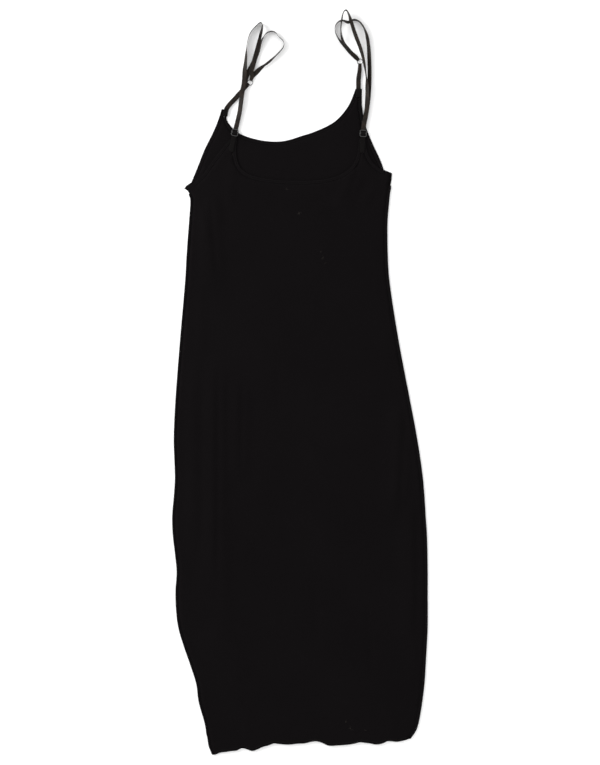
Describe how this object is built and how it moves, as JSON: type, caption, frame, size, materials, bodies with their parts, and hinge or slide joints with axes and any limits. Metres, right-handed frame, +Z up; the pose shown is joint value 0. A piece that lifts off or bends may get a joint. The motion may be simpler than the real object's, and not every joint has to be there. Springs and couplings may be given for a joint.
{
  "type": "slip dress",
  "caption": "Long close-fitting stretch-knit slip dress with scooped necklines and adjustable straps, laid out flat with its back upwards.",
  "frame": {"origin": "centre of the laid-out dress, on the surface it lies on", "axes": "+Y from the hem to the shoulder straps, +Z up out of the surface, +X to the right as seen from above"},
  "size_m": [0.447, 1.3, 0.0166],
  "materials": {
    "jersey": "matte knit",
    "binding": "matte knit",
    "elastic": "satin weave",
    "coated_metal": "gloss coat"
  },
  "bodies": {
    "root": {"front_panel": "jersey", "back_panel": "jersey", "front_binding_arm_left": "binding", "front_binding_neck": "binding", "front_binding_arm_right": "binding", "back_binding_arm_left": "binding", "back_binding_neck": "binding", "back_binding_arm_right": "binding", "strap_left": "elastic", "strap_right": "elastic", "strap_stub_left": "elastic", "strap_stub_right": "elastic", "ring_left": "coated_metal", "ring_right": "coated_metal", "slider_left": "coated_metal", "slider_right": "coated_metal"}
  },
  "joints": []
}
